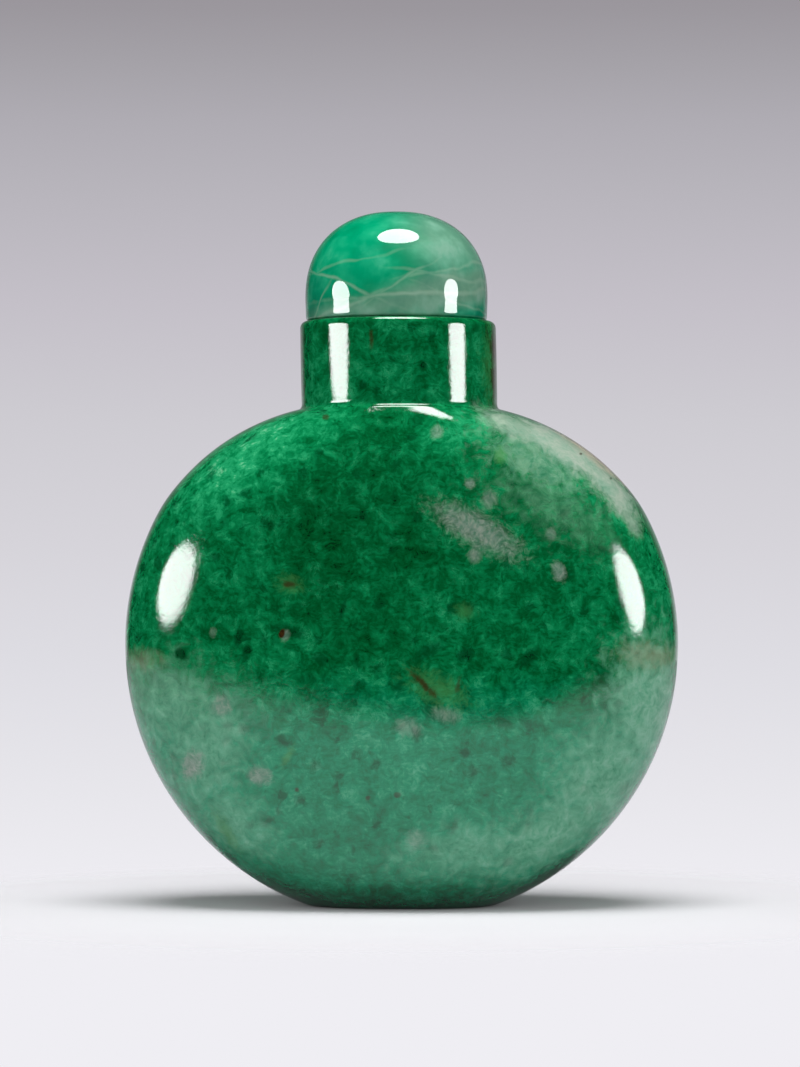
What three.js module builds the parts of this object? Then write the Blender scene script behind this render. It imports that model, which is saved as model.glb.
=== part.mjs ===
// A snuff bottle: a flattened round bottle ground from one block of mottled green jadeite,
// hollowed through its mouth, with a domed stopper of paler, translucent jadeite.
// Millimetres, +Z up, origin at the middle of the flat foot. The broad faces look along -Y and +Y.
import * as THREE from 'three';

// ---- Driving dimensions of the body, seen from the front (X, Z) ----
const beltRadius = 25.23;      // the disc that the outline follows, foot to shoulder
const beltHeight = 23.75;      // centre of that disc above the foot, and the widest place
const shoulderRadius = 14.3;   // the tighter turn of the shoulder
const crownRadius = 21.0;      // the flatter slope that runs in to the neck
const shoulderStart = 27.5;    // degrees above level where the shoulder turn begins
const crownStart = 38.2;       // degrees above level where it ends

// ---- The same body, seen from the side (Y, Z) ----
const halfDepth = 12.27;       // half the thickness at the fullest place
const fullestHeight = 26.2;    // height of that place
const footHalfDepth = 5.6;     // half the thickness of the flat foot
const upperFullness = 3.1;     // exponent of the side outline above it: 2 is an ellipse, more is flatter
const lowerFullness = 3.6;     // and below it
const faceFullness = 2.38;     // exponent of the level sections through the body

// ---- Neck, lip, mouth and hollow ----
const neckRadius = 8.93;
const neckSwell = 0.02;        // how far the neck bulges half way up
const coveRadius = 0.45;       // the soft inside corner where neck and shoulder meet
const lipHeight = 53.15;       // top of the lip above the foot
const lipRounding = 0.62;
const neckLean = 1.1;          // degrees that the neck stands off plumb, towards -X
const leanFrom = 37;           // height in the shoulder where that lean begins
const mouthRadius = 3.75;
const mouthBevel = 0.25;
const wall = 3.0;
const floorThickness = 3.6;
const roundedTop = 8;          // height below the neck over which the sections turn round

// ---- Stopper ----
const stopperRadius = 8.32;
const stopperHeight = 10.05;   // above the lip
const domeHeight = 7.9;        // the domed share of that
const domeFullness = 2.25;     // exponent of the dome's outline
const stopperEdge = 0.3;       // rounding of its lower edge
const stopperTaper = 0.06;     // how much narrower its wall is at the lip
const stopperShift = -0.44;    // it sits a little off the middle, towards -X
const spigotRadius = 3.3;
const spigotBevel = 0.25;
const spigotLength = 3.2;
const seatGap = 0.3;           // between the stopper and the lip that it rests on

// ---- How finely the round stretches are divided ----
const bottleSegments = 56;
const stopperSegments = 48;
const domeSteps = 14;

const rad = THREE.MathUtils.degToRad;
const deg = THREE.MathUtils.radToDeg;
const circle = 2;              // the exponent of a round or elliptic section

// A coordinate on the unit circle, moved on to the unit curve of another exponent.
const eased = (value, fullness) => Math.sign(value) * Math.pow(Math.abs(value), circle / fullness);

// Points along an arc about (x, z), from one angle to another in degrees, the last one included.
function arc(x, z, radius, from, to, steps) {
  const curve = new THREE.EllipseCurve(x, z, radius, radius, rad(from), rad(to), from > to);
  return curve.getPoints(steps);
}

// Centres of the shoulder and crown arcs: each arc leaves the one before it without a corner.
const belt = new THREE.Vector2(0, beltHeight);
const along = (angle, length) => new THREE.Vector2(length, 0).rotateAround(new THREE.Vector2(), rad(angle));
const shoulder = belt.clone().add(along(shoulderStart, beltRadius - shoulderRadius));
const crown = shoulder.clone().add(along(crownStart, shoulderRadius - crownRadius));

// The cove touches the crown arc from outside and the neck's wall.
const coveX = neckRadius + coveRadius;
const coveReach = crownRadius + coveRadius;
const coveAngle = deg(Math.acos((coveX - crown.x) / coveReach));
const coveZ = crown.y + Math.sin(rad(coveAngle)) * coveReach;
const neckFoot = crown.clone().add(along(coveAngle, crownRadius));

// Half the body's thickness at a height: a rounded oblong, round where it meets the neck.
// The reach is how far such an outline runs past the height where its half depth is given.
const sideReach = (height, depth, fullness) => (
  height / Math.pow(1 - Math.pow(depth / halfDepth, fullness), 1 / fullness)
);
const upperReach = sideReach(neckFoot.y - fullestHeight, neckFoot.x, upperFullness);
const lowerReach = sideReach(fullestHeight, footHalfDepth, lowerFullness);
function bodyHalfDepth(z) {
  const above = z > fullestHeight;
  const share = above ? (z - fullestHeight) / upperReach : (fullestHeight - z) / lowerReach;
  const fullness = above ? upperFullness : lowerFullness;
  return halfDepth * Math.pow(Math.max(1 - Math.pow(share, fullness), 0), 1 / fullness);
}

// The exponent of the level section at a height: flatter faced in the body, round at the neck.
function sectionFullness(z, top) {
  const share = THREE.MathUtils.smoothstep(top - z, 0, roundedTop);
  return THREE.MathUtils.lerp(circle, faceFullness, share);
}

// How far the lean has carried the shoulder, the neck and the hollow sideways at a height.
const leanAt = (z) => -Math.max(z - leanFrom, 0) * Math.tan(rad(neckLean));

// A station is one level ring: its half width, height, half depth, fullness and sideways shift.
const ring = (p, halfDepthHere, fullness) => ({
  halfWidth: p.x, z: p.y, halfDepth: halfDepthHere, fullness, shift: leanAt(p.y),
});
const roundRing = (p) => ring(p, p.x, circle);

// The outside, from the middle of the foot up to the cove.
function outsideRings() {
  const footAngle = -deg(Math.asin(beltHeight / beltRadius));
  const outline = [
    ...arc(belt.x, belt.y, beltRadius, footAngle, shoulderStart, 20),
    ...arc(shoulder.x, shoulder.y, shoulderRadius, shoulderStart, crownStart, 3).slice(1),
    ...arc(crown.x, crown.y, crownRadius, crownStart, coveAngle, 7).slice(1),
  ];
  const rings = outline.map((p) => ring(p, bodyHalfDepth(p.y), sectionFullness(p.y, neckFoot.y)));
  return [ring(new THREE.Vector2(0, 0), 0, circle), ...rings];
}

// Cove, neck wall with its slight swell, rounded lip, and the bevelled edge of the mouth.
function neckRings() {
  const lipBase = lipHeight - lipRounding;
  const neckWall = new THREE.QuadraticBezierCurve(
    new THREE.Vector2(neckRadius, coveZ),
    new THREE.Vector2(neckRadius + 2 * neckSwell, (coveZ + lipBase) / 2),
    new THREE.Vector2(neckRadius, lipBase),
  );
  return [
    ...arc(coveX, coveZ, coveRadius, coveAngle + 180, 180, 3).slice(1),
    ...neckWall.getPoints(4).slice(1),
    ...arc(neckRadius - lipRounding, lipBase, lipRounding, 0, 90, 4).slice(1),
    new THREE.Vector2(mouthRadius + mouthBevel, lipHeight),
    new THREE.Vector2(mouthRadius, lipHeight - mouthBevel),
  ].map(roundRing);
}

// The bore and the hollow, from the mouth down to the middle of the hollow's floor.
// The hollow keeps the outside's arcs, a wall's thickness in.
function hollowRings() {
  const crownAngle = deg(Math.acos((mouthRadius - crown.x) / (crownRadius - wall)));
  const floorAngle = -deg(Math.asin((beltHeight - floorThickness) / (beltRadius - wall)));
  const outline = [
    ...arc(crown.x, crown.y, crownRadius - wall, crownAngle, crownStart, 6),
    ...arc(shoulder.x, shoulder.y, shoulderRadius - wall, crownStart, shoulderStart, 2).slice(1),
    ...arc(belt.x, belt.y, beltRadius - wall, shoulderStart, floorAngle, 12).slice(1),
  ];
  const top = outline[0].y;
  const rings = outline.map((p) => (
    ring(p, Math.min(p.x, bodyHalfDepth(p.y) - wall), sectionFullness(p.y, top))
  ));
  return [...rings, ring(new THREE.Vector2(0, floorThickness), 0, circle)];
}

// Turns the stations into a closed mesh: a lathe gives the rings, and each ring is then
// pressed from a circle to its own width, depth and fullness.
function pressedLathe(rings, segments) {
  const profile = rings.map((r) => new THREE.Vector2(r.halfWidth, r.z));
  const geometry = new THREE.LatheGeometry(profile, segments);
  const position = geometry.getAttribute('position');
  for (let i = 0; i < position.count; i++) {
    const station = rings[i % rings.length];
    const turn = (Math.floor(i / rings.length) % segments) / segments * 2 * Math.PI;
    const x = station.halfWidth * eased(Math.cos(turn), station.fullness) + station.shift;
    const y = station.halfDepth * eased(Math.sin(turn), station.fullness);
    position.setXYZ(i, x, y, station.z);
  }
  geometry.computeVertexNormals();
  return geometry;
}

function bottle() {
  const rings = [...outsideRings(), ...neckRings(), ...hollowRings()];
  const jadeite = new THREE.MeshStandardMaterial({ color: 0x0a6b3c, roughness: 0.12, metalness: 0 });
  const mesh = new THREE.Mesh(pressedLathe(rings, bottleSegments), jadeite);
  mesh.name = 'bottle';
  return mesh;
}

// The stopper: a low spigot that drops into the mouth, a flat seat, a short wall and the dome.
function stopper() {
  const shoulderZ = stopperHeight - seatGap - domeHeight;
  const seatRadius = stopperRadius - stopperTaper;
  const dome = arc(0, 0, 1, 0, 90, domeSteps).map((p) => new THREE.Vector2(
    stopperRadius * eased(p.x, domeFullness),
    shoulderZ + domeHeight * eased(p.y, domeFullness),
  ));
  dome[domeSteps].x = 0;
  const profile = [
    new THREE.Vector2(0, -spigotLength),
    new THREE.Vector2(spigotRadius - spigotBevel, -spigotLength),
    new THREE.Vector2(spigotRadius, spigotBevel - spigotLength),
    new THREE.Vector2(spigotRadius, 0),
    ...arc(seatRadius - stopperEdge, stopperEdge, stopperEdge, -90, 0, 3),
    ...dome,
  ];
  const rings = profile.map((p) => ({
    halfWidth: p.x, z: p.y, halfDepth: p.x, fullness: circle, shift: 0,
  }));
  const palerJadeite = new THREE.MeshStandardMaterial({ color: 0x4fae84, roughness: 0.08, metalness: 0 });
  const mesh = new THREE.Mesh(pressedLathe(rings, stopperSegments), palerJadeite);
  mesh.name = 'stopper';
  mesh.position.set(stopperShift, 0, lipHeight + seatGap);
  return mesh;
}

const snuffBottle = new THREE.Group();
snuffBottle.add(bottle(), stopper());

export default snuffBottle;
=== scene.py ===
import math

import bmesh
import bpy
import numpy as np
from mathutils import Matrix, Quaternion, Vector


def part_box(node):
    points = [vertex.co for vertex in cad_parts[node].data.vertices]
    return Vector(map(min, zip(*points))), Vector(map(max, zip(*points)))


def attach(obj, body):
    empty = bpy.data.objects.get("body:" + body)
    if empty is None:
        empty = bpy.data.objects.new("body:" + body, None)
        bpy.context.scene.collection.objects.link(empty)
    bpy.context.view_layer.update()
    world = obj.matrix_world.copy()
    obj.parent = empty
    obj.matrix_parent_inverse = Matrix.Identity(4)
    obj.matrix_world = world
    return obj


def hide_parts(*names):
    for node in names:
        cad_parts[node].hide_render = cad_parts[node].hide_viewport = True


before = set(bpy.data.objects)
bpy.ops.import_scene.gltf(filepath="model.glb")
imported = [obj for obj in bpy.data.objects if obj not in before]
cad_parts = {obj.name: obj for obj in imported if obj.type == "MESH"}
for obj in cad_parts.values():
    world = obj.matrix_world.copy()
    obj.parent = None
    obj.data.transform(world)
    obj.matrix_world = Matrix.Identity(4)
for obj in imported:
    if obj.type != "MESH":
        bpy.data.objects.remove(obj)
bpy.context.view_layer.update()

MM = 0.001
BOTTLE_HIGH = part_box("bottle")[1]
STOPPER_LOW, STOPPER_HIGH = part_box("stopper")

# ---- Dimensions, in millimetres ----
# The body from the front: a disc, a tighter shoulder, and a flatter crown that runs in to the neck.
BELT_RADIUS = BOTTLE_HIGH.x / MM
BELT_HEIGHT = 23.75
SHOULDER_RADIUS = 14.3
CROWN_RADIUS = 21.0
SHOULDER_START = 27.5  # degrees above level
CROWN_START = 38.2
# The body from the side, and its level sections.
HALF_DEPTH = BOTTLE_HIGH.y / MM - 0.005  # a hair inside the CAD body, which the smoothing may fill
FULLEST_HEIGHT = 26.2
FOOT_HALF_DEPTH = 5.6
UPPER_FULLNESS = 3.1
LOWER_FULLNESS = 3.6
FACE_FULLNESS = 2.38
ROUNDED_TOP = 8.0
# Neck, lip, mouth and hollow.
NECK_RADIUS = 8.93
NECK_SWELL = 0.02
COVE_RADIUS = 0.45
LIP_HEIGHT = BOTTLE_HIGH.z / MM
LIP_ROUNDING = 0.62
NECK_LEAN = 1.1  # degrees, towards -X
LEAN_FROM = 37.0
MOUTH_RADIUS = 3.75
MOUTH_ROUNDING = 0.3
WALL = 3.0
HOLLOW_FLOOR = 3.6
# Stopper.
STOPPER_RADIUS = (STOPPER_HIGH.x - STOPPER_LOW.x) / 2 / MM
STOPPER_SHIFT = (STOPPER_HIGH.x + STOPPER_LOW.x) / 2 / MM
STOPPER_TOP = STOPPER_HIGH.z / MM
STOPPER_SEAT = LIP_HEIGHT + 0.03
SPIGOT_FOOT = STOPPER_LOW.z / MM
SPIGOT_RADIUS = 3.3
DOME_HEIGHT = 7.9
DOME_FULLNESS = 2.25
STOPPER_EDGE = 0.3
STOPPER_TAPER = 0.06
EDGE_HOLD = 0.4  # how near the rings lie that keep the spigot's edges crisp

# Each cage ring has this many corners, and each subdivision doubles them.
CORNERS = 16
SMOOTHING_LEVELS = 3
ROUND = 2.0  # the exponent of a round or elliptic section
TINY = 1e-6  # metres within which two places are the same


# ---- Outlines ----
def polar(centre, radius, angle):
    """The point at an angle in degrees on a circle."""
    a = math.radians(angle)
    return np.array([centre[0] + radius * math.cos(a), centre[1] + radius * math.sin(a)])


def spaced(start, end, steps, crowding=1.0):
    """Values from start to end, closer together at the start when crowding is over 1."""
    return [start + (end - start) * (i / steps) ** crowding for i in range(steps + 1)]


def spaced_both(start, end, steps, crowding):
    """Values from start to end, closer together at both ends."""
    shares = [(i / steps) ** crowding for i in range(steps + 1)]
    return [start + (end - start) * s / (s + r) for s, r in zip(shares, reversed(shares))]


def eased(value, fullness):
    return math.copysign(abs(value) ** (2 / fullness), value)


BELT = np.array([0.0, BELT_HEIGHT])
SHOULDER = polar(BELT, BELT_RADIUS - SHOULDER_RADIUS, SHOULDER_START)
CROWN = polar(SHOULDER, SHOULDER_RADIUS - CROWN_RADIUS, CROWN_START)
COVE_REACH = NECK_RADIUS + COVE_RADIUS - CROWN[0]
COVE_ANGLE = math.degrees(math.acos(COVE_REACH / (CROWN_RADIUS + COVE_RADIUS)))
COVE = polar(CROWN, CROWN_RADIUS + COVE_RADIUS, COVE_ANGLE)
NECK_FOOT = polar(CROWN, CROWN_RADIUS, COVE_ANGLE)
FOOT_ANGLE = -math.degrees(math.asin(BELT_HEIGHT / BELT_RADIUS))


def side_reach(height, half_depth, fullness):
    """How far the side outline would run past a height at which it has the given half depth."""
    return height / (1 - (half_depth / HALF_DEPTH) ** fullness) ** (1 / fullness)


UPPER_REACH = side_reach(NECK_FOOT[1] - FULLEST_HEIGHT, NECK_FOOT[0], UPPER_FULLNESS)
LOWER_REACH = side_reach(FULLEST_HEIGHT, FOOT_HALF_DEPTH, LOWER_FULLNESS)


def half_depth_at(z):
    above = z - FULLEST_HEIGHT
    reach, fullness = (UPPER_REACH, UPPER_FULLNESS) if above > 0 else (LOWER_REACH, LOWER_FULLNESS)
    return HALF_DEPTH * max(1 - (abs(above) / reach) ** fullness, 0) ** (1 / fullness)


def fullness_at(z, top):
    """Flatter faced sections in the body, round ones where it meets the neck."""
    share = min(max((top - z) / ROUNDED_TOP, 0), 1)
    return ROUND + (FACE_FULLNESS - ROUND) * share * share * (3 - 2 * share)


def lean_at(z):
    return -max(z - LEAN_FROM, 0) * math.tan(math.radians(NECK_LEAN))


def body_station(point):
    """Half width, half depth, height and fullness of the outside at a point of the front outline."""
    return (point[0], half_depth_at(point[1]), point[1], fullness_at(point[1], NECK_FOOT[1]))


def round_station(radius, z):
    return (radius, radius, z, ROUND)


def outside_stations():
    foot_half_width = polar(BELT, BELT_RADIUS, FOOT_ANGLE)[0]
    stations = [
        (foot_half_width * share, FOOT_HALF_DEPTH * share, 0.0, FACE_FULLNESS)
        for share in (0.55, 0.8, 0.93)
    ]
    stations += [body_station(polar(BELT, BELT_RADIUS, a)) for a in spaced(FOOT_ANGLE, 0, 10, 1.6)]
    stations += [body_station(polar(BELT, BELT_RADIUS, a)) for a in spaced(0, SHOULDER_START, 3)[1:]]
    stations.append(body_station(polar(SHOULDER, SHOULDER_RADIUS, CROWN_START)))
    crown_angles = spaced(COVE_ANGLE, CROWN_START, 6, 1.7)[::-1]
    stations += [body_station(polar(CROWN, CROWN_RADIUS, a)) for a in crown_angles[1:]]
    return stations


def neck_stations():
    lip_base = LIP_HEIGHT - LIP_ROUNDING
    middle = (COVE[1] + lip_base) / 2
    half = (lip_base - COVE[1]) / 2
    stations = []
    for angle in spaced(COVE_ANGLE + 180, 180, 3)[1:]:
        stations.append(round_station(*polar(COVE, COVE_RADIUS, angle)))
    for z in spaced_both(COVE[1], lip_base, 8, 1.5)[1:]:
        swell = NECK_SWELL * (1 - ((z - middle) / half) ** 2)
        stations.append(round_station(NECK_RADIUS + swell, z))
    for angle in spaced(0, 90, 4)[1:]:
        centre = (NECK_RADIUS - LIP_ROUNDING, lip_base)
        stations.append(round_station(*polar(centre, LIP_ROUNDING, angle)))
    return stations


def mouth_stations():
    mouth_edge = MOUTH_RADIUS + MOUTH_ROUNDING
    stations = [
        round_station(r, LIP_HEIGHT)
        for r in spaced_both(NECK_RADIUS - LIP_ROUNDING, mouth_edge, 6, 1.4)[1:]
    ]
    for angle in spaced(90, 180, 3)[1:]:
        centre = (mouth_edge, LIP_HEIGHT - MOUTH_ROUNDING)
        stations.append(round_station(*polar(centre, MOUTH_ROUNDING, angle)))
    return stations


def hollow_stations():
    """The bore and the hollow, which keeps the outside's arcs a wall's thickness in."""
    inner_crown = CROWN_RADIUS - WALL
    inner_belt = BELT_RADIUS - WALL
    bore_angle = math.degrees(math.acos((MOUTH_RADIUS - CROWN[0]) / inner_crown))
    floor_angle = -math.degrees(math.asin((BELT_HEIGHT - HOLLOW_FLOOR) / inner_belt))
    ceiling = polar(CROWN, inner_crown, bore_angle)[1]
    bore = spaced_both(LIP_HEIGHT - MOUTH_ROUNDING, ceiling, 5, 1.4)[1:]
    stations = [round_station(MOUTH_RADIUS, z) for z in bore]
    outline = [polar(CROWN, inner_crown, a) for a in spaced(bore_angle, CROWN_START, 4, 1.4)[1:]]
    outline.append(polar(SHOULDER, SHOULDER_RADIUS - WALL, SHOULDER_START))
    outline += [polar(BELT, inner_belt, a) for a in spaced(SHOULDER_START, floor_angle, 8)[1:]]
    for x, z in outline:
        stations.append((x, min(x, half_depth_at(z) - WALL), z, fullness_at(z, ceiling)))
    floor_half_width, floor_half_depth = stations[-1][:2]
    for share in (0.85, 0.5):
        stations.append(
            (floor_half_width * share, floor_half_depth * share, HOLLOW_FLOOR, FACE_FULLNESS)
        )
    return stations


def stopper_stations():
    seat_radius = STOPPER_RADIUS - STOPPER_TAPER
    dome_base = STOPPER_TOP - DOME_HEIGHT
    stations = [round_station(SPIGOT_RADIUS * share, SPIGOT_FOOT) for share in (0.5, 0.88, 1.0)]
    spigot_heights = (SPIGOT_FOOT + EDGE_HOLD, STOPPER_SEAT - EDGE_HOLD, STOPPER_SEAT)
    stations += [round_station(SPIGOT_RADIUS, z) for z in spigot_heights]
    stations += [round_station(SPIGOT_RADIUS + EDGE_HOLD, STOPPER_SEAT)]
    edge_centre = (seat_radius - STOPPER_EDGE, STOPPER_SEAT + STOPPER_EDGE)
    seat_radii = spaced(edge_centre[0] - 2, edge_centre[0] - 0.3, 2, 0.8)
    stations += [round_station(r, STOPPER_SEAT) for r in seat_radii]
    for angle in spaced(-90, 0, 4):
        stations.append(round_station(*polar(edge_centre, STOPPER_EDGE, angle)))
    for z in spaced(edge_centre[1], dome_base, 4, 1.6)[1:]:
        radius = seat_radius + STOPPER_TAPER * (z - edge_centre[1]) / (dome_base - edge_centre[1])
        stations.append(round_station(radius, z))
    for angle in spaced(0, 90, 12, 1.0)[1:-1]:
        stations.append(round_station(
            STOPPER_RADIUS * eased(math.cos(math.radians(angle)), DOME_FULLNESS),
            dome_base + DOME_HEIGHT * eased(math.sin(math.radians(angle)), DOME_FULLNESS),
        ))
    return stations


# ---- Modelling: a cage of rings, extruded one from another and smoothed ----
def stand_proud(stations):
    """Moves each ring out by as much as the smoothing will draw it in, square to the outline."""
    cage = np.array(stations, float)
    lowest, highest = cage[:, 2].min(), cage[:, 2].max()
    path = cage[:, :3].copy()
    for i in range(1, len(path) - 1):
        bend = path[i - 1] - 2 * path[i] + path[i + 1]
        along = path[i + 1] - path[i - 1]
        along /= np.linalg.norm(along)
        cage[i, :3] -= (bend - bend.dot(along) * along) / 6
    cage[:, 2] = np.clip(cage[:, 2], lowest, highest)
    return cage


def section(half_width, half_depth, fullness):
    """The corners of a ring that the smoothing turns into the wanted level section."""
    turns = [2 * math.pi * i / CORNERS for i in range(CORNERS)]
    curve = np.array([(eased(math.cos(t), fullness), eased(math.sin(t), fullness)) for t in turns])
    one = np.eye(CORNERS)
    drawn_in = (4 * one + np.roll(one, 1, 0) + np.roll(one, -1, 0)) / 6
    return np.linalg.solve(drawn_in, curve) * (half_width, half_depth)


def select_corners(mesh, ring, wanted):
    """Selects those corners of a ring whose place is wanted, in edit mode."""
    edit = bmesh.from_edit_mesh(mesh)
    edit.verts.ensure_lookup_table()
    for corner in edit.verts:
        corner.select_set(False)
    for index in ring:
        edit.verts[index].select_set(wanted(edit.verts[index].co))
    edit.select_flush_mode()
    bmesh.update_edit_mesh(mesh)


def selected_ring(mesh):
    edit = bmesh.from_edit_mesh(mesh)
    edit.verts.index_update()
    return [corner.index for corner in edit.verts if corner.select]


def press_ring(mesh, ring, before, after, centre):
    """Scales a ring from one section to another, all at once or one set of like corners at a time."""
    quarter = CORNERS // 4 + 1
    scales = [
        tuple(new / old if abs(old) > 1e-9 else 1.0 for old, new in zip(before[i], after[i]))
        for i in range(quarter)
    ]
    inner = scales[1:-1]
    if max(abs(s[0] - inner[0][0]) + abs(s[1] - inner[0][1]) for s in inner) < 1e-5:
        bpy.ops.transform.resize(value=(*inner[0], 1), center_override=centre)
        return
    for (x, y), scale in zip(before[:quarter], scales):
        def at_corner(co):
            off = (abs(co.x - centre[0]) - abs(x) * MM, abs(co.y) - abs(y) * MM)
            return max(map(abs, off)) < TINY

        select_corners(mesh, ring, at_corner)
        bpy.ops.transform.resize(value=(*scale, 1), center_override=centre)
    select_corners(mesh, ring, lambda co: True)


def ground_from_rings(name, stations, shift):
    """Extrudes ring after ring through the stations, caps both ends and smooths the cage."""
    cage = stand_proud(stations)
    before = section(*cage[0][[0, 1, 3]])
    place = Vector((shift(cage[0][2]) * MM, 0, cage[0][2] * MM))
    bpy.ops.object.select_all(action="DESELECT")
    bpy.ops.mesh.primitive_circle_add(vertices=CORNERS, radius=MM, location=(0, 0, 0))
    piece = bpy.context.object
    piece.name = name
    bpy.ops.object.mode_set(mode="EDIT")
    bpy.context.tool_settings.mesh_select_mode = (True, False, False)
    bpy.ops.mesh.select_all(action="SELECT")
    unit = np.array([(math.cos(2 * math.pi * i / CORNERS), math.sin(2 * math.pi * i / CORNERS))
                     for i in range(CORNERS)])
    press_ring(piece.data, selected_ring(piece.data), unit, before, Vector((0, 0, 0)))
    bpy.ops.transform.translate(value=place)
    bpy.ops.mesh.edge_face_add()
    for half_width, half_depth, z, fullness in cage[1:]:
        step = Vector((shift(z) * MM, 0, z * MM)) - place
        bpy.ops.mesh.extrude_edges_move(TRANSFORM_OT_translate={"value": step})
        place += step
        after = section(half_width, half_depth, fullness)
        press_ring(piece.data, selected_ring(piece.data), before, after, place)
        before = after
    bpy.ops.mesh.edge_face_add()
    bpy.ops.mesh.select_all(action="SELECT")
    bpy.ops.mesh.normals_make_consistent(inside=False)
    bpy.ops.object.mode_set(mode="OBJECT")
    smoothing = piece.modifiers.new("smoothing", "SUBSURF")
    smoothing.levels = smoothing.render_levels = SMOOTHING_LEVELS
    bpy.ops.object.modifier_apply(modifier=smoothing.name)
    bpy.ops.object.shade_smooth()
    return piece


def make_bottle():
    stations = outside_stations() + neck_stations() + mouth_stations() + hollow_stations()
    return ground_from_rings("jadeite_bottle", stations, lean_at)


def make_stopper():
    return ground_from_rings("jadeite_stopper", stopper_stations(), lambda z: STOPPER_SHIFT)


# ---- Materials ----
def linear(hex_colour):
    """An sRGB hex colour as linear red, green, blue and alpha."""
    channels = [int(hex_colour[i:i + 2], 16) / 255 for i in (0, 2, 4)]
    return (*[c / 12.92 if c <= 0.04045 else ((c + 0.055) / 1.055) ** 2.4 for c in channels], 1.0)


def add(tree, kind, settings=None, **inputs):
    """Adds a node. settings are its own options; inputs are values, nodes or sockets.

    An input goes by its name, with _ for a space, or by i and its number.
    """
    made = tree.nodes.new(kind)
    for key, value in (settings or {}).items():
        if key != "stops":
            setattr(made, key, value)
            continue
        while len(made.color_ramp.elements) < len(value):
            made.color_ramp.elements.new(0.5)
        for element, (place, colour) in zip(made.color_ramp.elements, value):
            element.position = place
            element.color = linear(colour)
    for key, value in inputs.items():
        numbered = key[0] == "i" and key[1:].isdigit()
        socket = made.inputs[int(key[1:]) if numbered else key.replace("_", " ")]
        if isinstance(value, bpy.types.Node):
            value = value.outputs[0]
        if isinstance(value, bpy.types.NodeSocket):
            tree.links.new(value, socket)
        else:
            socket.default_value = value
    return made


def new_material(name):
    material = bpy.data.materials.new(name)
    material.use_nodes = True
    material.node_tree.nodes.clear()
    return material, material.node_tree


def millimetres(tree):
    """The place in the stone, in millimetres."""
    place = add(tree, "ShaderNodeTexCoord").outputs["Object"]
    return add(tree, "ShaderNodeMapping", Vector=place, Scale=(1 / MM, 1 / MM, 1 / MM))


def stirred(tree, place, scale, reach):
    """Places pushed about by a noise, so that what is laid over them flows and curls."""
    noise = add(tree, "ShaderNodeTexNoise", Vector=place, Scale=scale, Detail=2)
    push = add(tree, "ShaderNodeVectorMath", {"operation": "SUBTRACT"},
               i0=noise.outputs["Color"], i1=(0.5, 0.5, 0.5))
    push = add(tree, "ShaderNodeVectorMath", {"operation": "SCALE"}, i0=push, Scale=reach)
    return add(tree, "ShaderNodeVectorMath", {"operation": "ADD"}, i0=place, i1=push)


def stretch(tree, value, low, high, bottom=0.0, top=1.0):
    """Stretches a stretch of values to another one, softly at both ends."""
    settings = {"interpolation_type": "SMOOTHSTEP"}
    return add(tree, "ShaderNodeMapRange", settings, Value=value, From_Min=low, From_Max=high,
               To_Min=bottom, To_Max=top)


def total(tree, first, *shares):
    """A value with shares of others added, each share around its own middle of a half."""
    for value, share in shares:
        first = add(tree, "ShaderNodeMath", {"operation": "MULTIPLY_ADD"}, i0=value, i1=share, i2=first)
        first = add(tree, "ShaderNodeMath", {"operation": "SUBTRACT"}, i0=first, i1=share / 2)
    return first


FRAYING = 1.7  # how strongly a noise frays the edge of a patch


def patch(tree, place, rag, centre, radii, turn, soft, ragged, strength=1.0):
    """How far a place lies in an egg-shaped patch with a frayed edge, turned by degrees from the front."""
    spot = add(tree, "ShaderNodeMapping", {"vector_type": "TEXTURE"}, Vector=place, Location=centre,
               Rotation=(0, math.radians(turn), 0), Scale=radii)
    distance = add(tree, "ShaderNodeVectorMath", {"operation": "LENGTH"}, i0=spot).outputs["Value"]
    distance = total(tree, distance, (rag, FRAYING * ragged))
    return stretch(tree, distance, 1 + soft, 1 - soft, 0, strength)


def together(tree, masks):
    """The strongest of several masks."""
    joined = masks[0]
    for mask in masks[1:]:
        joined = add(tree, "ShaderNodeMath", {"operation": "MAXIMUM"}, i0=joined, i1=mask)
    return joined


def tint(tree, colour, mask, other):
    """A colour mixed with another one, or a hex colour, where the mask is."""
    if isinstance(other, str):
        other = linear(other)
    return add(tree, "ShaderNodeMixRGB", {"blend_type": "MIX"}, Fac=mask, Color1=colour, Color2=other)


def ramp(tree, value, *stops):
    """Colours by value: pairs of a value and an sRGB hex colour."""
    return add(tree, "ShaderNodeValToRGB", {"stops": stops}, Fac=value)


# ---- Features of the stones ----
# Each one: centre and radii in mm, turn in degrees seen from the front, softness, fraying, strength.
WHITE_CLOUDS = (
    ((10.6, -7.0, 43.3), (3.2, 5.0, 1.0), 26, 0.6, 1.2, 0.8),
    ((15.0, -5.5, 41.4), (5.2, 5.5, 1.5), 30, 0.5, 1.0, 1.0),
    ((18.9, -5.5, 37.9), (3.6, 4.5, 1.2), 50, 0.5, 1.1, 0.95),
    ((20.6, -5.5, 35.0), (1.6, 3.5, 0.55), 62, 0.6, 1.1, 0.7),
)
MIXED_CLOUDS = (
    ((12.5, -9.0, 40.2), (4.4, 5.0, 2.0), 28, 0.8, 2.4, 0.6),
    ((13.5, -10.0, 37.0), (4.4, 5.0, 2.4), 30, 0.9, 2.8, 0.28),
    ((16.5, -9.0, 34.6), (2.6, 5.0, 1.5), 40, 0.9, 2.6, 0.2),
)
TAN_EDGES = (
    ((17.6, -2.0, 41.3), (4.6, 3.4, 1.0), 40, 0.6, 1.0, 0.85),
    ((22.6, -6.5, 22.8), (3.0, 5.0, 1.0), 4, 0.8, 1.6, 0.35),
    ((-23.2, -6.0, 22.4), (1.8, 5.0, 0.8), 4, 0.8, 1.6, 0.25),
)
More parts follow.
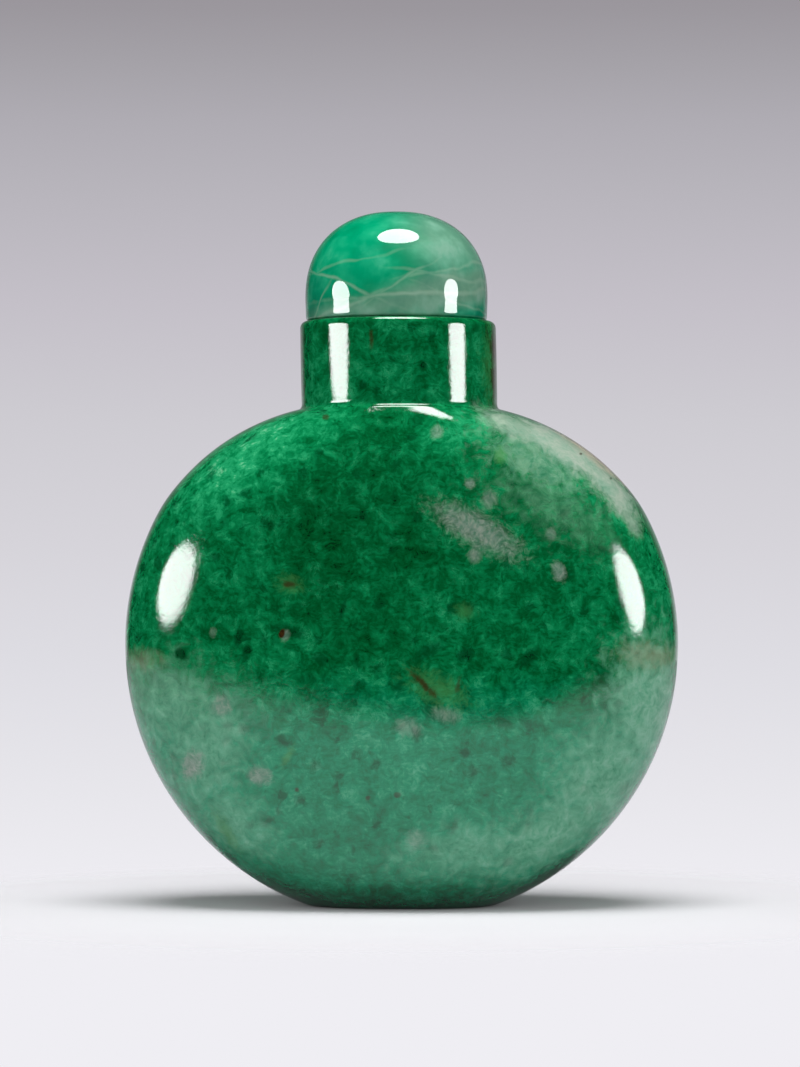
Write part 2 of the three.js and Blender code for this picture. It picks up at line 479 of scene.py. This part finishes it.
GREY_CLOUDS = (
    ((7.2, -11.8, 33.9), (3.4, 3.0, 1.15), 29, 0.8, 1.5, 0.8),
    ((6.9, -11.8, 31.7), (0.55, 2.0, 0.6), 0, 0.6, 1.0, 0.6),
    ((14.3, -10.6, 30.3), (0.5, 2.0, 0.8), -20, 0.6, 1.0, 0.75),
    ((13.6, -10.6, 33.6), (0.4, 2.0, 0.5), 0, 0.6, 1.0, 0.5),
    ((6.4, -11.3, 38.1), (0.4, 2.0, 0.4), 0, 0.6, 1.0, 0.6),
    ((8.1, -11.4, 36.7), (0.6, 2.0, 0.7), 20, 0.6, 1.2, 0.5),
    ((3.5, -10.1, 42.7), (0.45, 2.0, 0.55), 20, 0.6, 1.2, 0.5),
    ((-15.6, -10.3, 18.4), (0.75, 3.0, 0.9), 0, 0.5, 0.9, 0.6),
    ((-18.4, -8.2, 13.0), (0.9, 3.0, 1.3), 25, 0.5, 0.9, 0.8),
    ((-12.2, -10.7, 12.2), (1.0, 3.0, 0.75), 10, 0.5, 0.9, 0.7),
    ((1.0, -12.0, 16.6), (1.0, 3.0, 0.7), 20, 0.6, 1.2, 0.45),
    ((4.3, -12.0, 17.7), (1.2, 3.0, 0.6), 10, 0.6, 1.2, 0.45),
    ((1.6, -10.8, 6.6), (0.8, 3.0, 0.8), 0, 0.6, 1.2, 0.4),
    ((-9.9, -11.5, 24.6), (0.35, 2.0, 0.5), 20, 0.5, 0.8, 0.5),
    ((-16.4, -10.0, 24.9), (0.3, 2.0, 0.4), 0, 0.5, 0.8, 0.35),
)
PALE_ZONES = (
    ((22.2, -6.0, 18.5), (3.6, 6.0, 5.5), 0, 0.7, 1.6, 0.85),
    ((18.6, -8.0, 12.0), (3.8, 6.0, 5.0), 40, 0.7, 1.6, 0.75),
    ((13.4, -8.5, 6.8), (5.6, 6.0, 2.3), -30, 0.7, 1.6, 0.75),
    ((6.0, -10.0, 5.6), (5.0, 5.0, 1.9), -6, 0.8, 2.0, 0.5),
    ((-20.3, -7.5, 18.6), (3.4, 6.0, 3.2), 20, 0.8, 2.0, 0.5),
    ((-17.0, -9.0, 14.4), (3.0, 5.0, 4.6), 30, 0.8, 2.0, 0.6),
    ((-14.6, -9.0, 7.8), (3.2, 5.0, 2.2), 40, 0.8, 2.0, 0.5),
)
YELLOW_GREEN = (
    ((3.6, -12.2, 19.9), (2.3, 3.0, 1.0), 24, 0.9, 2.4, 0.45),
    ((-9.5, -11.7, 29.2), (0.9, 3.0, 0.6), 20, 0.9, 2.4, 0.4),
    ((9.1, -9.9, 40.6), (0.45, 2.0, 0.7), 0, 0.7, 1.2, 0.6),
    ((6.0, -12.1, 26.8), (0.7, 3.0, 0.6), 30, 0.9, 2.0, 0.35),
    ((-15.4, -8.0, 7.0), (1.6, 4.0, 0.5), 60, 0.8, 1.6, 0.5),
    ((-9.7, -11.2, 14.0), (0.3, 3.0, 0.9), 30, 0.7, 1.4, 0.5),
    ((8.4, -2.4, 49.2), (1.0, 3.0, 3.4), 0, 0.8, 1.8, 0.45),
)
BROWN_SPOTS = (
    ((2.4, -12.2, 20.3), (1.4, 2.0, 0.26), 44, 0.7, 1.8, 0.85),
    ((5.4, -12.1, 20.2), (0.2, 2.0, 0.7), 10, 0.6, 1.4, 0.6),
    ((-9.6, -11.7, 29.2), (0.55, 2.0, 0.28), 10, 0.6, 1.6, 0.8),
    ((-10.2, -11.6, 24.8), (0.24, 2.0, 0.42), 20, 0.4, 0.8, 1.0),
    ((8.6, -2.2, 50.6), (0.45, 2.0, 1.3), 0, 0.7, 1.6, 0.9),
    ((8.5, -2.4, 47.8), (0.28, 2.0, 1.6), 0, 0.7, 1.6, 0.8),
    ((-2.4, -8.7, 51.0), (0.16, 2.0, 0.75), 0, 0.7, 1.4, 0.6),
    ((-6.5, -8.5, 44.1), (0.3, 2.0, 0.25), 0, 0.5, 0.8, 0.6),
    ((-8.9, -11.4, 11.0), (0.2, 2.0, 0.2), 0, 0.5, 0.8, 0.8),
    ((-2.6, -11.4, 10.3), (0.22, 2.0, 0.2), 0, 0.5, 0.8, 0.7),
    ((0.0, -11.4, 10.6), (0.3, 2.0, 0.25), 0, 0.5, 1.0, 0.6),
    ((16.3, -3.4, 40.9), (0.16, 2.0, 0.14), 0, 0.4, 0.6, 0.8),
    ((19.0, -3.0, 38.7), (0.16, 2.0, 0.14), 0, 0.4, 0.6, 0.7),
)
DEEP_SPOTS = (
    ((-3.0, -12.0, 35.2), (0.35, 2.0, 0.45), 0, 0.5, 0.9, 0.7),
    ((-0.4, -12.2, 32.2), (0.3, 2.0, 0.35), 0, 0.5, 0.9, 0.6),
    ((-4.8, -12.1, 27.0), (0.22, 2.0, 0.8), 15, 0.6, 1.0, 0.7),
    ((-16.2, -9.9, 31.6), (0.5, 2.0, 0.35), 0, 0.5, 0.9, 0.6),
    ((-11.2, -11.1, 34.3), (0.35, 2.0, 0.4), 0, 0.5, 0.9, 0.7),
    ((-14.1, -10.9, 24.5), (0.35, 2.0, 0.8), 10, 0.5, 0.9, 0.8),
    ((-13.3, -11.1, 23.4), (0.4, 2.0, 0.4), 0, 0.5, 0.9, 0.8),
    ((-19.4, -8.9, 23.0), (0.6, 2.0, 0.5), 30, 0.4, 0.7, 0.8),
    ((-9.6, -11.4, 25.0), (1.4, 2.0, 0.5), 12, 0.6, 1.2, 0.7),
    ((5.9, -12.1, 22.9), (0.6, 2.0, 0.5), 0, 0.6, 1.0, 0.8),
    ((2.8, -12.1, 23.3), (1.5, 2.0, 0.5), -30, 0.7, 1.4, 0.6),
    ((11.6, -11.4, 22.6), (1.1, 2.0, 0.5), -35, 0.6, 1.2, 0.7),
    ((9.2, -11.8, 17.0), (0.9, 2.0, 0.5), 20, 0.6, 1.0, 0.5),
    ((6.0, -12.0, 14.3), (0.4, 2.0, 0.45), 0, 0.5, 0.9, 0.6),
    ((13.8, -7.0, 2.9), (4.2, 6.0, 0.8), -32, 0.6, 1.4, 0.9),
    ((2.2, -8.3, 48.7), (0.35, 2.0, 0.4), 0, 0.6, 0.9, 0.8),
    ((-3.2, -8.3, 46.9), (0.3, 2.0, 0.4), 0, 0.6, 0.9, 0.7),
)
STOPPER_GREEN = (
    ((-5.4, -4.0, 60.4), (6.4, 9.0, 3.6), -20, 0.5, 0.6, 1.0),
    ((-3.2, -7.0, 57.0), (5.2, 6.0, 2.4), -12, 0.5, 0.6, 0.9),
)
STOPPER_VEINS = (
    ((-5.4, -7.0, 56.3), (3.6, 20.0, 0.12), 24, 1.2, 2.0, 0.55),
    ((1.0, -7.0, 55.2), (5.2, 20.0, 0.14), -4, 1.2, 2.0, 0.6),
    ((-4.6, -7.0, 54.2), (2.8, 20.0, 0.16), -22, 1.2, 2.0, 0.55),
    ((0.2, -7.0, 56.4), (3.2, 20.0, 0.10), -33, 1.2, 2.0, 0.4),
    ((4.6, -7.0, 57.6), (3.6, 20.0, 0.12), -12, 1.2, 2.0, 0.4),
    ((-4.6, -7.0, 58.1), (3.6, 20.0, 0.10), -12, 1.2, 2.0, 0.25),
    ((4.4, -7.0, 56.9), (4.2, 20.0, 0.12), 8, 1.2, 2.0, 0.35),
    ((5.4, -7.0, 54.6), (2.8, 20.0, 0.10), 24, 1.2, 2.0, 0.35),
    ((-6.9, -5.0, 54.9), (1.2, 20.0, 0.07), -70, 1.2, 2.0, 0.4),
)
STOPPER_HAZE = (
    ((4.6, -5.0, 61.0), (5.0, 9.0, 4.2), -15, 0.7, 0.8, 0.75),
    ((3.4, -6.0, 55.6), (7.5, 9.0, 1.8), -12, 0.6, 0.9, 0.9),
    ((-2.5, -7.0, 54.2), (5.0, 9.0, 1.1), -8, 0.6, 0.9, 0.9),
)


def patches(tree, place, rag, features):
    return together(tree, [patch(tree, place, rag, *feature) for feature in features])


def thread_mask(tree, noise, width):
    """Thin curling threads, where a noise passes through its middle."""
    away = add(tree, "ShaderNodeMath", {"operation": "SUBTRACT"}, i0=noise, i1=0.5)
    away = add(tree, "ShaderNodeMath", {"operation": "ABSOLUTE"}, i0=away)
    return stretch(tree, away, width, 0.0)


UNDERCUT = 0.000007  # metres that the softer grains lie below the polish


def jadeite_bottle_material():
    """Jadeite, mottled emerald green with pale clouds and rusty flaws, ground smooth and highly polished."""
    material, tree = new_material("mottled_jadeite")
    place = millimetres(tree)
    height = add(tree, "ShaderNodeSeparateXYZ", Vector=place).outputs["Z"]
    across = add(tree, "ShaderNodeSeparateXYZ", Vector=place).outputs["X"]
    flowing = stirred(tree, place, 0.5, 1.6)
    curled = stirred(tree, flowing, 1.7, 0.3)
    cloud = add(tree, "ShaderNodeTexNoise", Vector=place, Scale=0.12, Detail=2, Roughness=0.5)
    mottle = add(tree, "ShaderNodeTexNoise", Vector=flowing, Scale=0.7, Detail=3, Roughness=0.55)
    felt = add(tree, "ShaderNodeTexNoise", Vector=curled, Scale=2.6, Detail=4, Roughness=0.62)
    rag = add(tree, "ShaderNodeTexNoise", Vector=curled, Scale=0.8, Detail=4, Roughness=0.7)
    strands = add(tree, "ShaderNodeMapping", Vector=curled,
                  Rotation=(0, math.radians(35), 0), Scale=(1.0, 1.0, 4.0))
    fibre = add(tree, "ShaderNodeTexNoise", Vector=strands, Scale=1.1, Detail=3, Roughness=0.6)
    fluff = add(tree, "ShaderNodeTexNoise", Vector=flowing, Scale=1.3, Detail=3, Roughness=0.7)
    fray = add(tree, "ShaderNodeTexNoise", Vector=curled, Scale=1.9, Detail=4, Roughness=0.75)

    # The green itself, from deep to bright: deepest in the middle, bluer and paler below, with painted light
    # on the flanks and painted shade at the foot.
    shoulder = patch(tree, place, rag, (-13.5, -7.5, 40.5), (8.0, 6, 3.6), -38, 0.7, 0.8)
    crown = patch(tree, place, rag, (5.5, -9.5, 43.0), (3.6, 4, 1.6), -20, 0.7, 1.0)
    heart = patch(tree, place, rag, (-1.5, -12, 33), (10, 5, 7.5), 0, 0.8, 0.6)
    # Painted shade: the stone is darkened towards the foot, where it mirrors the contact shadow on the
    # floor.
    foot_shade = stretch(tree, total(tree, height, (rag, 3.0)), 3.4, 1.2)
    # Painted light: the stone is lifted towards both flanks, which the side lamps light more than the
    # middle.
    flank_light = stretch(tree, add(tree, "ShaderNodeMath", {"operation": "ABSOLUTE"}, i0=across), 17.0, 25.0)
    tone = total(tree, 0.54, (cloud, 0.3), (mottle, 0.6), (felt, 0.5), (fibre, 0.3))
    for mask, lift in ((shoulder, 0.2), (crown, 0.14), (heart, -0.08), (flank_light, 0.1), (foot_shade, -0.18)):
        tone = add(tree, "ShaderNodeMath", {"operation": "MULTIPLY_ADD"}, i0=mask, i1=lift, i2=tone)
    deep = ramp(
        tree, tone, (0.15, "002c0c"), (0.33, "00491f"), (0.48, "026232"),
        (0.62, "087f49"), (0.8, "26a36a"), (0.95, "7cc99a"),
    )
    bluish = ramp(
        tree, tone, (0.15, "00401f"), (0.33, "006340"), (0.48, "007f57"),
        (0.62, "15956a"), (0.8, "4fb08a"), (0.95, "9ccdb4"),
    )
    below = stretch(tree, total(tree, height, (rag, 6.0)), 22.5, 14.0)
    colour = tint(tree, deep, below, bluish)

    # Fine pale threads, here and there.
    here = stretch(tree, mottle, 0.52, 0.72, 0.0, 0.3)
    threads = thread_mask(tree, felt, 0.022)
    threads = add(tree, "ShaderNodeMath", {"operation": "MULTIPLY"}, i0=threads, i1=here)
    colour = tint(tree, colour, threads, "5fc796")

    # Deep green specks.
    cells = add(tree, "ShaderNodeTexVoronoi", Vector=flowing, Scale=0.6, Randomness=1.0)
    chance = add(tree, "ShaderNodeSeparateColor", Color=cells.outputs["Color"])
    size = stretch(tree, chance, 0.4, 1.0, 0.0, 0.34)
    edge = total(tree, cells, (felt, 0.5))
    nearness = add(tree, "ShaderNodeMath", {"operation": "SUBTRACT"}, i0=size, i1=edge)
    speck = stretch(tree, nearness, -0.2, 0.2, 0.0, 0.6)
    colour = tint(tree, colour, speck, "003d1b")

    # Paler zones low down, the pale cloud over one shoulder and the mixed stone beside it.
    grain = total(tree, 0.5, (felt, 0.6), (mottle, 0.6))
    pale_green = ramp(tree, grain, (0.25, "1f8f62"), (0.45, "64b18c"), (0.6, "82c0a0"), (0.8, "a3cdb6"))
    colour = tint(tree, colour, patches(tree, place, fluff, PALE_ZONES), pale_green)
    milky_grain = total(tree, 0.5, (felt, 0.5), (mottle, 0.6))
    pale = ramp(tree, milky_grain, (0.2, "5d9a7c"), (0.42, "8dae98"), (0.58, "a3b5a4"), (0.8, "bcc4b4"))
    mixed = ramp(tree, grain, (0.2, "2f8a60"), (0.42, "62a583"), (0.58, "8bb398"), (0.8, "abc0aa"))
    colour = tint(tree, colour, patches(tree, place, fluff, MIXED_CLOUDS), mixed)
    colour = tint(tree, colour, patches(tree, place, rag, WHITE_CLOUDS), pale)
    colour = tint(tree, colour, patches(tree, place, rag, TAN_EDGES), "b9ae96")

    # Grey clouds, yellow-green halos, rusty flaws and dark spots.
    colour = tint(tree, colour, patches(tree, place, fray, DEEP_SPOTS), "003616")
    downy_grain = total(tree, 0.5, (felt, 0.8), (fluff, 0.6))
    grey = ramp(tree, downy_grain, (0.3, "5f8a73"), (0.5, "84988a"), (0.7, "a3a99e"))
    colour = tint(tree, colour, patches(tree, place, fray, GREY_CLOUDS), grey)
    colour = tint(tree, colour, patches(tree, place, fray, YELLOW_GREEN), "4c9450")
    colour = tint(tree, colour, patches(tree, place, fray, BROWN_SPOTS), "38240f")

    bump = add(tree, "ShaderNodeBump", Height=felt, Strength=1.0, Distance=UNDERCUT)
    shader = add(tree, "ShaderNodeBsdfPrincipled", Base_Color=colour, Roughness=0.05, IOR=1.70,
                 Normal=bump)
    add(tree, "ShaderNodeOutputMaterial", Surface=shader)
    return material


def jadeite_stopper_material():
    """Pale jadeite, emerald on one side and grey-green on the other, veined and highly polished."""
    material, tree = new_material("pale_jadeite")
    place = millimetres(tree)
    flowing = stirred(tree, place, 0.22, 1.6)
    mottle = add(tree, "ShaderNodeTexNoise", Vector=flowing, Scale=0.45, Detail=3, Roughness=0.5)
    rag = add(tree, "ShaderNodeTexNoise", Vector=flowing, Scale=0.35, Detail=3, Roughness=0.55)
    body = ramp(tree, mottle, (0.2, "0b7c5c"), (0.45, "128d69"), (0.6, "2fa27c"), (0.8, "5cb595"))
    green = ramp(tree, mottle, (0.2, "008c5e"), (0.45, "009c6c"), (0.6, "18a878"), (0.8, "44b88e"))
    haze = ramp(tree, mottle, (0.2, "5c917b"), (0.45, "73a389"), (0.6, "85b19a"), (0.8, "a2c0ae"))
    colour = tint(tree, body, patches(tree, place, rag, STOPPER_HAZE), haze)
    colour = tint(tree, colour, patches(tree, place, rag, STOPPER_GREEN), green)
    colour = tint(tree, colour, patches(tree, flowing, rag, STOPPER_VEINS), "a3bfa8")
    shader = add(tree, "ShaderNodeBsdfPrincipled", Base_Color=colour, Roughness=0.03, IOR=1.66)
    add(tree, "ShaderNodeOutputMaterial", Surface=shader)
    return material


def finish_piece(piece, material, node):
    piece.data.materials.clear()
    piece.data.materials.append(material)
    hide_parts(node)
    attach(piece, "root")


# ---- Stage, lights and camera ----
CAMERA_DISTANCE = 0.370
CAMERA_HEIGHT = 0.0292
CAMERA_TURN = 1.8  # degrees that the camera stands towards +X
CAMERA_PITCH = 0.714
CAMERA_AIM = 0.018  # degrees that it looks to the left of the middle
CAMERA_LENS = 136.8
FLOOR_COLOUR = "d2d1d5"
FLOOR_GLOW = 0.04
CARD_COLOUR = "b8b7bb"

# The pale background by its height above the horizon, in degrees.
BACKGROUND = (
    (-4.5, "efeef3"), (-2.84, "e7e6eb"), (-1.14, "dedde3"), (0.55, "d6d4da"),
    (2.25, "ceccd2"), (3.94, "c4c0c8"), (5.6, "b7b4bb"), (6.5, "afacb3"),
    (7.3, "a5a2a8"), (8.1, "9b979d"), (14.0, "77747a"), (30.0, "39383b"),
)
FLOOR_RADIUS = 0.4
FLOOR_FADE = (0.030, 0.060)  # the distances, in metres, over which the floor gives way to the background
BACKDROP_FADE = (20, 40)  # degrees to the side over which the mirrored backdrop fades
CARD_CENTRE = (-0.035, 0.300)
CARD_RADII = (0.300, 0.550)

# Lamps that are mirrored: aim in mm; azimuth from -Y, elevation; distance in mm; half width and
# half height in degrees; radiance; roll.
SOFTBOXES = (
    ("left_softbox", (-20, -8, 29), -72.7, 10.2, 249, 14.6, 8.3, 12, -8.5),
    ("right_softbox", (21, -7.7, 29), 74.7, 9.6, 347, 11.5, 9.0, 12, 6.4),
    ("overhead_softbox", (0, -8, 55), 13.1, 82.6, 600, 18.5, 15.0, 12.5, 0),
)
# Lamps that light but aren't mirrored, all aimed at one place from one distance: azimuth, elevation,
# half width, half height and radiance.
FILLS = (
    ("front_fill", 0, 45, 45, 35, 0.8),
    ("low_fill", 0, 14, 45, 12, 0.8),
    ("left_fill", -85, 20, 30, 20, 1.3),
    ("right_fill", 85, 20, 30, 20, 1.3),
)
FILL_AIM = (0, 0, 20)
FILL_DISTANCE = 1200


def add_camera():
    turn = math.radians(CAMERA_TURN)
    place = (CAMERA_DISTANCE * math.sin(turn), -CAMERA_DISTANCE * math.cos(turn), CAMERA_HEIGHT)
    look = (math.radians(90 + CAMERA_PITCH), 0, turn + math.radians(CAMERA_AIM))
    bpy.ops.object.camera_add(location=place, rotation=look)
    camera = bpy.context.object
    camera.data.lens = CAMERA_LENS
    camera.data.sensor_width = 36
    camera.data.clip_start = 0.01
    camera.data.clip_end = 10
    bpy.context.scene.camera = camera
    return camera


def add_softbox(name, aim, azimuth, elevation, distance, half_width, half_height, radiance, roll=0):
    """An oval softbox, at an azimuth from -Y and an elevation seen from its aim, in degrees."""
    a = math.radians(azimuth)
    e = math.radians(elevation)
    way = Vector((math.sin(a) * math.cos(e), -math.cos(a) * math.cos(e), math.sin(e)))
    turn = way.to_track_quat("Z", "Y") @ Quaternion((0, 0, 1), math.radians(roll))
    bpy.ops.object.light_add(
        type="AREA", location=Vector(aim) * MM + way * distance * MM, rotation=turn.to_euler(),
    )
    lamp = bpy.context.object
    lamp.name = name
    lamp.data.shape = "ELLIPSE"
    lamp.data.size = 2 * distance * MM * math.tan(math.radians(half_width))
    lamp.data.size_y = 2 * distance * MM * math.tan(math.radians(half_height))
    lamp.data.energy = radiance * math.pi * math.pi / 4 * lamp.data.size * lamp.data.size_y
    lamp.visible_camera = False
    return lamp


def matt_card_material():
    material, tree = new_material("matt_white_card")
    matt = add(tree, "ShaderNodeBsdfDiffuse", Color=linear(CARD_COLOUR))
    add(tree, "ShaderNodeOutputMaterial", Surface=matt.outputs[0])
    return material


def floor_material():
    """Matt white ground, faintly lit from below, which runs out into the pale background."""
    material, tree = new_material("matt_white_ground")
    place = add(tree, "ShaderNodeTexCoord").outputs["Object"]
    distance = add(tree, "ShaderNodeVectorMath", {"operation": "LENGTH"}, i0=place)
    gone = add(tree, "ShaderNodeMapRange", {"interpolation_type": "SMOOTHSTEP"},
               Value=distance.outputs["Value"], From_Min=FLOOR_FADE[0], From_Max=FLOOR_FADE[1])
    lit = add(tree, "ShaderNodeBsdfPrincipled", Base_Color=linear(FLOOR_COLOUR), Roughness=1.0,
              Specular_IOR_Level=0.0, Emission_Color=linear("ffffff"), Emission_Strength=FLOOR_GLOW)
    clear = add(tree, "ShaderNodeBsdfTransparent")
    mixed = add(tree, "ShaderNodeMixShader", i0=gone.outputs[0], i1=lit.outputs[0], i2=clear.outputs[0])
    add(tree, "ShaderNodeOutputMaterial", Surface=mixed.outputs[0])
    return material


def background_colour(tree, way):
    """The background's colour in a direction."""
    low = math.sin(math.radians(BACKGROUND[0][0]))
    high = math.sin(math.radians(BACKGROUND[-1][0]))
    height = add(tree, "ShaderNodeSeparateXYZ", Vector=way).outputs["Z"]
    share = add(tree, "ShaderNodeMapRange", Value=height, From_Min=low, From_Max=high)
    stops = [((math.sin(math.radians(e)) - low) / (high - low), c) for e, c in BACKGROUND]
    return add(tree, "ShaderNodeValToRGB", {"stops": stops}, Fac=share)


def add_background():
    """A pale ground that darkens upwards, which the camera sees behind everything."""
    world = bpy.data.worlds.new("pale_background")
    bpy.context.scene.world = world
    world.use_nodes = True
    tree = world.node_tree
    tree.nodes.clear()
    way = add(tree, "ShaderNodeTexCoord").outputs["Generated"]
    glow = add(tree, "ShaderNodeBackground", Color=background_colour(tree, way), Strength=1.0)
    add(tree, "ShaderNodeOutputWorld", Surface=glow.outputs[0])
    seen = world.cycles_visibility
    seen.diffuse = seen.glossy = seen.transmission = seen.scatter = False


def backdrop_material():
    """The same ground as a lit sheet, for what the polish mirrors. It fades towards its sides."""
    material, tree = new_material("lit_backdrop")
    place = add(tree, "ShaderNodeTexCoord").outputs["Object"]
    way = add(tree, "ShaderNodeVectorMath", {"operation": "NORMALIZE"}, i0=place).outputs[0]
    side = add(tree, "ShaderNodeMath", {"operation": "ABSOLUTE"},
               i0=add(tree, "ShaderNodeSeparateXYZ", Vector=way).outputs["X"]).outputs[0]
    near, far = (math.sin(math.radians(a)) for a in BACKDROP_FADE)
    strength = add(tree, "ShaderNodeMapRange", {"interpolation_type": "SMOOTHSTEP"},
                   Value=side, From_Min=near, From_Max=far, To_Min=1, To_Max=0)
    colour = background_colour(tree, way)
    glow = add(tree, "ShaderNodeEmission", Color=colour, Strength=strength.outputs[0])
    add(tree, "ShaderNodeOutputMaterial", Surface=glow.outputs[0])
    return material


def only_mirrored(card, material):
    """Finishes a sheet of the stage that the polish mirrors and that lights the stone, but isn't seen."""
    card.data.materials.append(material)
    card.visible_camera = False
    card.visible_shadow = False


def add_floor_card(name, depth, cut_at, cut_towards):
    """Part of an oval sheet under the floor, cut off along a line."""
    bpy.ops.object.select_all(action="DESELECT")
    bpy.ops.mesh.primitive_circle_add(vertices=96, radius=1, fill_type="NGON")
    card = bpy.context.object
    card.name = name
    bpy.ops.object.mode_set(mode="EDIT")
    bpy.ops.mesh.select_all(action="SELECT")
    bpy.ops.transform.resize(value=(*CARD_RADII, 1), center_override=(0, 0, 0))
    bpy.ops.transform.translate(value=(*CARD_CENTRE, -depth))
    bpy.ops.mesh.bisect(plane_co=cut_at, plane_no=cut_towards, clear_outer=True, use_fill=False)
    bpy.ops.object.mode_set(mode="OBJECT")
    only_mirrored(card, matt_card_material())


def add_stage():
    """Floor, backdrop and lamps. The camera sees one set of sheets, and the polish mirrors another."""
    bpy.ops.mesh.primitive_circle_add(vertices=96, radius=FLOOR_RADIUS, fill_type="NGON")
    floor = bpy.context.object
    floor.name = "floor"
    floor.data.materials.append(floor_material())
    floor.visible_diffuse = floor.visible_glossy = floor.visible_shadow = False
    floor.visible_transmission = False
    add_floor_card("floor_card", 0.00002, (0, -0.148, 0), (0, -1, 0))
    add_floor_card("floor_tongue", 0.00004, (-0.070, -0.250, 0), (0.61, -0.79, 0))
    bpy.ops.mesh.primitive_plane_add(size=1, location=(0, 0.7, 0.2), rotation=(math.radians(90), 0, 0))
    backdrop = bpy.context.object
    backdrop.name = "backdrop_card"
    backdrop.scale = (1.1, 0.5, 1)
    bpy.ops.object.transform_apply(location=True, rotation=True, scale=True)
    only_mirrored(backdrop, backdrop_material())
    for name, *settings in SOFTBOXES:
        softbox = add_softbox(name, *settings)
        softbox.visible_diffuse = name == "overhead_softbox"
    for name, azimuth, elevation, *size_and_radiance in FILLS:
        fill = add_softbox(name, FILL_AIM, azimuth, elevation, FILL_DISTANCE, *size_and_radiance)
        fill.visible_glossy = False
    add_background()


bottle = make_bottle()
stopper = make_stopper()
finish_piece(bottle, jadeite_bottle_material(), "bottle")
finish_piece(stopper, jadeite_stopper_material(), "stopper")
add_stage()
add_camera()

scene = bpy.context.scene
scene.view_settings.view_transform = "Standard"
